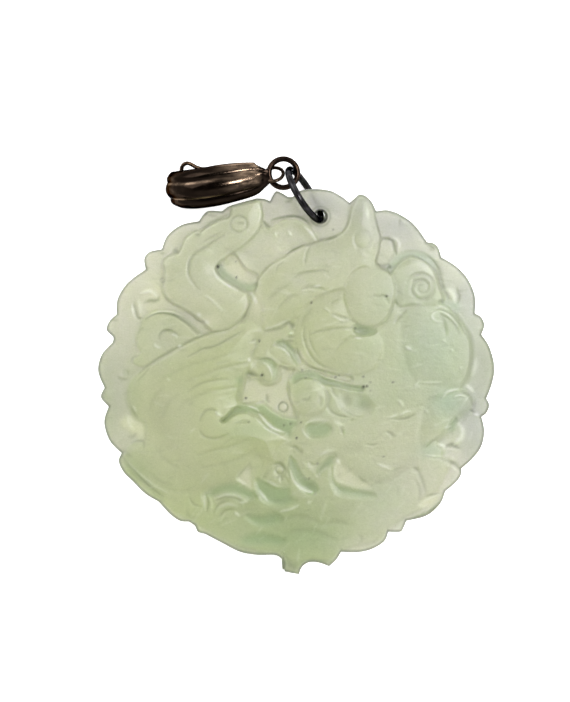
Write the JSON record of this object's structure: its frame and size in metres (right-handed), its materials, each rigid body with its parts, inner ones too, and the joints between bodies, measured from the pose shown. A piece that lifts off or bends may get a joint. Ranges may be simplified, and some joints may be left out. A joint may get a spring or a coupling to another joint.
{
  "type": "chinese jade pendant",
  "caption": "Round carved jade pendant with a scalloped rim, hung by a jump ring and a link ring from a fluted clip-on bail with a hinged wire gate.",
  "frame": {"origin": "middle of the flat on the back of the jade disc, which rests on the surface", "axes": "+Z out of the carved face, +Y towards the hole and the bail, +X to the carving's right"},
  "size_m": [0.0555, 0.0582, 0.0089],
  "materials": {
    "jade": "polished translucent pale green jade",
    "jump_metal": "blackened, worn bright",
    "link_metal": "dark brown patina",
    "bail_metal": "dark brown patina, ridges worn bright",
    "gate_metal": "brown patina"
  },
  "bodies": {
    "pendant": {"jade_disc": "jade", "jump_ring": "jump_metal", "link_ring": "link_metal", "bail_shell": "bail_metal"},
    "gate": {"bail_gate": "gate_metal"}
  },
  "joints": [
    {"name": "gate_hinge", "type": "hinge", "parent": "pendant", "child": "gate", "pos_m": [-0.0056, 0.02896, 0.00281], "axis": [0.1628, -0.9424, -0.2924], "range_deg": [0, 60]}
  ]
}
